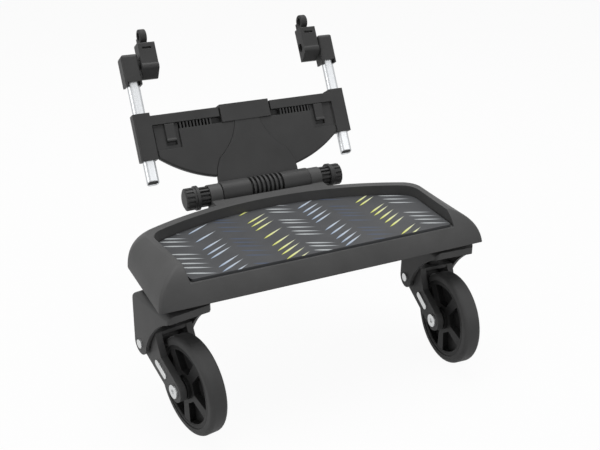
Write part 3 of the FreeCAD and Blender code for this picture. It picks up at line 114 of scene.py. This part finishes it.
def moulded(name, dark, light, rough, grain_mm, edge_mm):
    """Moulded plastic or rubber: a fine even grain, a weak sheen, a slow drift of tone."""
    drift_mm, smoother, rougher = 40, 0.06, 0.08
    strength, depth_mm, sheen = 0.08, 0.05, 0.12
    made, tree = new_tree(name)
    place = add(tree, "TexCoord").outputs["Object"]
    grain = add(tree, "TexNoise", None, {
        "Vector": place, "Scale": 1 / (grain_mm * MM), "Detail": 2.0})
    drift = add(tree, "TexNoise", None, {
        "Vector": place, "Scale": 1 / (drift_mm * MM), "Detail": 4.0})
    tone = add(tree, "ValToRGB", {"stops": ((0.3, dark), (0.7, light))}, {"Fac": drift})
    gloss = add(tree, "MapRange", None, {
        "Value": grain, "To Min": rough - smoother, "To Max": rough + rougher})
    finish_surface(tree, grain, strength, depth_mm, edge_mm, {
        "Base Color": tone, "Roughness": gloss, "Specular IOR Level": sheen})
    return made


def metal(name, colour, stretch, line_mm, rough_low, rough_high):
    """Bare metal: fine lines along the leaning tubes, or clouds where nothing is stretched."""
    tube_lean = math.radians(-28)
    strength, depth_mm, edge_mm = 0.04, 0.02, 0.4
    made, tree = new_tree(name)
    place = add(tree, "TexCoord").outputs["Object"]
    along = add(tree, "Mapping", {"vector_type": "TEXTURE"}, {
        "Vector": place, "Rotation": (tube_lean, 0, 0), "Scale": (1.0, 1.0, stretch)})
    lines = add(tree, "TexNoise", None, {
        "Vector": along, "Scale": 1 / (line_mm * MM), "Detail": 2.0})
    gloss = add(tree, "MapRange", None, {
        "Value": lines, "To Min": rough_low, "To Max": rough_high})
    finish_surface(tree, lines, strength, depth_mm, edge_mm, {
        "Base Color": linear(colour), "Metallic": 1.0, "Roughness": gloss})
    return made


# Inks of four columns in turn, at the thick and the thin end of a dash: pale, blue, navy, lime
INKS_HEAVY_END = ((0.0, "#abafb0"), (0.25, "#8c9db4"), (0.5, "#3c465a"), (0.75, "#c3c748"))
INKS_LIGHT_END = ((0.0, "#9da1a4"), (0.25, "#bcc1c5"), (0.5, "#3f454f"), (0.75, "#d0d2c0"))
MAT_GREYS = ((0.3, "#38393b"), (0.7, "#404143"))


def printed_mat(name):
    """Thin rubber mat printed with herringbone columns of slanted, spindle-shaped dashes.

    A column is the floor of x over its width. Along a column the rows are y less slope times x,
    in pitches, with the slope's sign changing from column to column. A dash is where the
    distance to its row's middle stays under a thickness that falls to nothing at both ends of
    the column. One row in six and a few by chance are left out.
    """
    half_columns, column_width, pitch = 4.5, 35 * MM, 11.5 * MM
    half_thickness, blur = 2.0 * MM, 0.6 * MM
    slope_even, slope_gain = -0.45, 1.08
    shift_least, shift_range = 0.32, 0.36
    end_overrun, end_power, middle_share = 2.12, 2.2, 0.85
    row_beat, column_beat, gap_share, chance_gap = 0.1667, 0.37, 0.17, 0.03
    ink_step, upright, cloud_mm, grain_mm = 0.25, 0.9, 30, 0.9
    strength, depth_mm, edge_mm = 0.12, 0.08, 0.5
    rough, sheen = 0.6, 0.25
    made, tree = new_tree(name)
    place = add(tree, "TexCoord").outputs["Object"]
    across, depth, _ = add(tree, "SeparateXYZ", None, {"Vector": place}).outputs

    # Column, and the way across it from -0.5 to 0.5
    widths = add(tree, "Math", "DIVIDE", (across, column_width))
    cells = add(tree, "Math", "ADD", (widths, half_columns))
    column = add(tree, "Math", "FLOOR", (cells,))
    inside = add(tree, "Math", "SUBTRACT", (add(tree, "Math", "FRACT", (cells,)), 0.5))

    # Slanted rows
    odd = add(tree, "Math", "PINGPONG", (column, 1.0))
    slope = add(tree, "Math", "MULTIPLY_ADD", (odd, slope_gain, slope_even))
    way = add(tree, "Math", "MULTIPLY", (inside, column_width))
    lean = add(tree, "Math", "MULTIPLY", (way, slope))
    rows = add(tree, "Math", "DIVIDE", (add(tree, "Math", "SUBTRACT", (depth, lean)), pitch))
    row = add(tree, "Math", "FLOOR", (rows,))

    # Distance to a dash's middle line, which sits by chance in its row
    chance = add(tree, "TexWhiteNoise", {"noise_dimensions": "2D"}, {
        "Vector": add(tree, "CombineXYZ", None, (column, row))})
    shift = add(tree, "Math", "MULTIPLY_ADD", (chance, shift_range, shift_least))
    off = add(tree, "Math", "SUBTRACT", (add(tree, "Math", "FRACT", (rows,)), shift))
    distance = add(tree, "Math", "MULTIPLY", (add(tree, "Math", "ABSOLUTE", (off,)), pitch))

    # Half thickness along the dash, and its soft edge
    stretched = add(tree, "Math", "MULTIPLY", (inside, end_overrun))
    reached = add(tree, "Math", "ABSOLUTE", (stretched,))
    narrowing = add(tree, "Math", "SUBTRACT", (
        1.0, add(tree, "Math", "POWER", (reached, end_power))))
    belly = add(tree, "Math", "MULTIPLY_ADD", (inside, -1.0, middle_share))
    spindle = add(tree, "Math", "MULTIPLY", (narrowing, belly))
    reach = add(tree, "Math", "MULTIPLY", (spindle, half_thickness))
    edge = add(tree, "Math", "DIVIDE", (add(tree, "Math", "SUBTRACT", (reach, distance)), blur))

    # Gaps between groups of dashes, and a few more by chance
    offset = add(tree, "Math", "MULTIPLY", (column, column_beat))
    beat = add(tree, "Math", "MULTIPLY_ADD", (row, row_beat, offset))
    grouped = add(tree, "Math", "GREATER_THAN", (
        add(tree, "Math", "FRACT", (beat,)), gap_share))
    luck = add(tree, "SeparateColor", None, {"Color": chance.outputs["Color"]})
    kept = add(tree, "Math", "GREATER_THAN", (luck, chance_gap))

    # Printed on the upper face only, inside the outer columns
    within = add(tree, "Math", "LESS_THAN", (
        add(tree, "Math", "ABSOLUTE", (across,)), half_columns * column_width))
    normal = add(tree, "NewGeometry").outputs["True Normal"]
    facing = add(tree, "SeparateXYZ", None, {"Vector": normal})
    upward = add(tree, "Math", "GREATER_THAN", (facing.outputs["Z"], upright))
    printed = add(tree, "Math", "MULTIPLY", (within, upward))
    chosen = add(tree, "Math", "MULTIPLY", (grouped, kept))
    shown = add(tree, "Math", "MULTIPLY", (chosen, printed))
    mask = add(tree, "Math", "MULTIPLY", (add(tree, "Clamp", None, {"Value": edge}), shown))

    # Inks over the mat's own greys
    kind = add(tree, "Math", "FRACT", (
        add(tree, "Math", "MULTIPLY_ADD", (column, ink_step, ink_step / 2)),))
    heavy_end = add(tree, "ValToRGB", {"stops": INKS_HEAVY_END}, {"Fac": kind})
    light_end = add(tree, "ValToRGB", {"stops": INKS_LIGHT_END}, {"Fac": kind})
    heavy_end.color_ramp.interpolation = light_end.color_ramp.interpolation = "CONSTANT"
    along = add(tree, "Math", "ADD", (inside, 0.5))
    inks = add(tree, "Mix", {"data_type": "RGBA"}, {
        0: along, 6: heavy_end, 7: light_end}).outputs[2]
    cloud = add(tree, "TexNoise", None, {
        "Vector": place, "Scale": 1 / (cloud_mm * MM), "Detail": 4.0})
    ground = add(tree, "ValToRGB", {"stops": MAT_GREYS}, {"Fac": cloud})
    colour = add(tree, "Mix", {"data_type": "RGBA"}, {0: mask, 6: ground, 7: inks}).outputs[2]
    grain = add(tree, "TexNoise", None, {
        "Vector": place, "Scale": 1 / (grain_mm * MM), "Detail": 2.0})
    finish_surface(tree, grain, strength, depth_mm, edge_mm, {
        "Base Color": colour, "Roughness": rough, "Specular IOR Level": sheen})
    return made


FINISHES = {
    # Charcoal shells of the neck, in two close greys
    "dark_plastic": moulded("moulded_plastic_charcoal", "#373737", "#3d3d3d", 0.44, 0.7, 0.7),
    # Smooth darker bearings
    "bush_plastic": moulded("moulded_plastic_bearing", "#2a2a2a", "#303030", 0.42, 0.7, 0.3),
    # Duller black rubber of the straps and buffers
    "strap_rubber": moulded("moulded_rubber_strap", "#343434", "#3b3b3b", 0.62, 0.9, 0.8),
    # Grey-black tyre, a little shinier and paler than the straps
    "wheel_tyre": moulded("moulded_rubber_tyre", "#3e3e3e", "#464646", 0.56, 0.9, 0.8),
    # Pale satin tube with draw lines along it
    "tube_aluminium": metal("anodised_aluminium_tube", "#bdbfc1", 60.0, 0.4, 0.3, 0.46),
    # Grey-white heads and pins with a clouded gloss
    "bright_steel": metal("plated_steel", "#cfd0d0", 1.0, 1.5, 0.25, 0.45),
    # Slate mat with pale, blue, navy and lime dashes
    "mat_rubber": printed_mat("printed_rubber_mat"),
}
# Deck and casters: the same plastic with a coarser texture, which looks a little paler
COARSE = moulded("moulded_plastic_textured", "#464646", "#4e4e4e", 0.5, 0.9, 0.8)
COARSE_NODES = ("deck_board", "caster_crown", "swing_arm")
# Wheel rims: a deeper black than the shells, partly their own black and partly painted shade of
# their shadowed faces
BLACK_WITH_PAINTED_SHADE = moulded("moulded_plastic_black_painted_shade", "#1f1f1f", "#252525", 0.45, 0.7, 0.6)
for part in frame["record"]["subparts"]:
    solid = frame["nodes"][part["node"]]
    solid.data.materials.clear()
    finish = FINISHES[part["material_slot"]]
    if part["node"].startswith(COARSE_NODES):
        finish = COARSE
    # Rims take the black that also carries painted shade
    elif part["node"].startswith("wheel_rim"):
        finish = BLACK_WITH_PAINTED_SHADE
    solid.data.materials.append(finish)


# Springs

def rubber_buffer(side):
    """Caster's rubber buffer, carried by the caster in place of the node's own solid.

    Rings round an upright axis, of the node's own size: from the middle to both ends the radius
    loses a tenth, as the sixth power of the way, so the sides stay straight and the rims turn
    in softly.
    """
    ring_count, ring_points, rim_loss, rim_power = 25, 48, 0.1, 6
    node = f"suspension_buffer_{side}"
    low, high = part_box(node)
    middle, half = (low + high) / 2, (high - low) / 2
    way = np.repeat(np.linspace(-1, 1, ring_count), ring_points)
    turn = np.tile(np.arange(ring_points) * 2 * math.pi / ring_points, ring_count)
    radius = half.x * (1 - rim_loss * way ** rim_power)
    rings = np.stack([radius * np.cos(turn), radius * np.sin(turn), half.z * way], axis=1)
    rings += np.array(middle)
    faces = []
    last = (ring_count - 1) * ring_points
    for start in range(0, last, ring_points):
        above = start + ring_points
        for here in range(ring_points):
            following = (here + 1) % ring_points
            faces.append((start + here, start + following, above + following, above + here))
    faces += [tuple(range(ring_points))[::-1], tuple(range(last, last + ring_points))]
    mesh = bpy.data.meshes.new(f"rubber_buffer_{side}")
    mesh.from_pydata(rings.tolist(), [], faces)
    mesh.materials.append(FINISHES["strap_rubber"])
    mesh.shade_smooth()
    made = bpy.data.objects.new(f"rubber_buffer_{side}", mesh)
    bpy.context.scene.collection.objects.link(made)
    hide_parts(node)
    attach(made, f"caster_{side}")
    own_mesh(made)


rubber_buffer("left")
rubber_buffer("right")


# Studio

def seen_rays(tree):
    """One for rays that show the background: from the camera, by reflection, through glass."""
    path = add(tree, "LightPath").outputs
    shown = add(tree, "Math", "MAXIMUM", (path["Is Camera Ray"], path["Is Glossy Ray"]))
    return add(tree, "Math", "MAXIMUM", (shown, path["Is Transmission Ray"]))


def studio_floor():
    """Wide white floor: mostly its own white to the eye, with a faint shadow left in."""
    reach, white_share = 6.0, 0.95
    corners = [(-reach, -reach, 0.0), (reach, -reach, 0.0),
               (reach, reach, 0.0), (-reach, reach, 0.0)]
    mesh = bpy.data.meshes.new("studio_floor")
    mesh.from_pydata(corners, [], [(0, 1, 2, 3)])
    floor = bpy.data.objects.new("studio_floor", mesh)
    bpy.context.scene.collection.objects.link(floor)
    paint, tree = new_tree("white_floor_paint")
    matt = add(tree, "BsdfDiffuse", None, {"Color": linear("#cfcfcf")})
    white = add(tree, "Emission", None, {"Color": linear("#ffffff"), "Strength": 1.0})
    share = add(tree, "Math", "MULTIPLY", (seen_rays(tree), white_share))
    mixed = add(tree, "MixShader", None, (share, matt, white))
    add(tree, "OutputMaterial", None, {"Surface": mixed})
    mesh.materials.append(paint)


def studio_world():
    """White room: full white where it is seen, a plain level where it lights."""
    lit, seen = 0.17, 1.0
    world = bpy.data.worlds.new("white_room")
    world.use_nodes = True
    tree = world.node_tree
    tree.nodes.clear()
    level = add(tree, "MapRange", None, {
        "Value": seen_rays(tree), "To Min": lit, "To Max": seen})
    sky = add(tree, "Background", None, {"Color": linear("#ffffff"), "Strength": level})
    add(tree, "OutputWorld", None, {"Surface": sky})
    bpy.context.scene.world = world


def soft_lamp(name, place, size, power):
    """Square soft box aimed at the middle of the board; metres and watts."""
    board_middle = Vector((0, 0, 0.15))
    lamp = bpy.data.lights.new(name, "AREA")
    lamp.size = size
    lamp.energy = power
    made = bpy.data.objects.new(name, lamp)
    made.location = place
    made.rotation_euler = (Vector(place) - board_middle).to_track_quat("Z", "Y").to_euler()
    bpy.context.scene.collection.objects.link(made)


def photo_camera():
    """Camera of the photograph, from a perspective fit to the object's own corners.

    It looks at a target from a distance, turned by yaw and tilted down by pitch, in radians. The
    focal length is in pixels of the picture's width.
    """
    yaw, pitch = -0.458331, 0.410967
    target_mm, distance_mm = Vector((17.946, -11.5, 158.458)), 1033.24
    focal_pixels, picture_pixels, sensor_mm = 881.97, 600, 36.0
    level = math.cos(pitch)
    back = Vector((math.sin(yaw) * level, -math.cos(yaw) * level, math.sin(pitch)))
    lens = bpy.data.cameras.new("photo_camera")
    lens.sensor_fit = "HORIZONTAL"
    lens.sensor_width = sensor_mm
    lens.lens = focal_pixels / picture_pixels * sensor_mm
    made = bpy.data.objects.new("photo_camera", lens)
    made.location = (target_mm + back * distance_mm) * MM
    made.rotation_euler = back.to_track_quat("Z", "Y").to_euler()
    bpy.context.scene.collection.objects.link(made)
    bpy.context.scene.camera = made


studio_floor()
studio_world()
soft_lamp("side_lamp", (-2.0, -0.3, 0.9), 1.2, 14)
soft_lamp("top_lamp", (0.1, 0.3, 2.0), 1.6, 41)
soft_lamp("front_lamp", (0.9, -1.8, 0.9), 1.4, 12)
photo_camera()
bpy.context.scene.view_settings.view_transform = "Standard"
